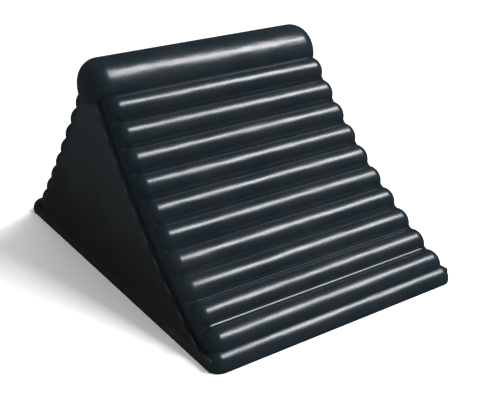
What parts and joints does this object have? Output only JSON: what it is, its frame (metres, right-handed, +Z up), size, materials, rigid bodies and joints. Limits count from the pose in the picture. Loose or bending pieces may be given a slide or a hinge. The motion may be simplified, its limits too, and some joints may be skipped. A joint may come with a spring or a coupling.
{
  "type": "wheel chock",
  "caption": "Moulded rubber wedge with hollow ribbed slopes on both sides, a round crown and round toes, set against a tyre to stop it rolling.",
  "frame": {"origin": "centre of the footprint, on the ground", "axes": "+X along the ribs, +Y from the long slope towards the short slope (the line of travel), +Z up"},
  "size_m": [0.167, 0.254, 0.1315],
  "materials": {
    "core_rubber": "matt, pressed against a plain mould wall",
    "tread_rubber": "smooth blue-black, semi-gloss moulded skin",
    "sole_rubber": "matt, grooved"
  },
  "bodies": {
    "root": {"core_block": "core_rubber", "front_tread": "tread_rubber", "rear_tread": "tread_rubber", "crown_bar": "tread_rubber", "front_toe_bar": "tread_rubber", "rear_toe_bar": "tread_rubber", "sole_pad": "sole_rubber"}
  },
  "joints": []
}
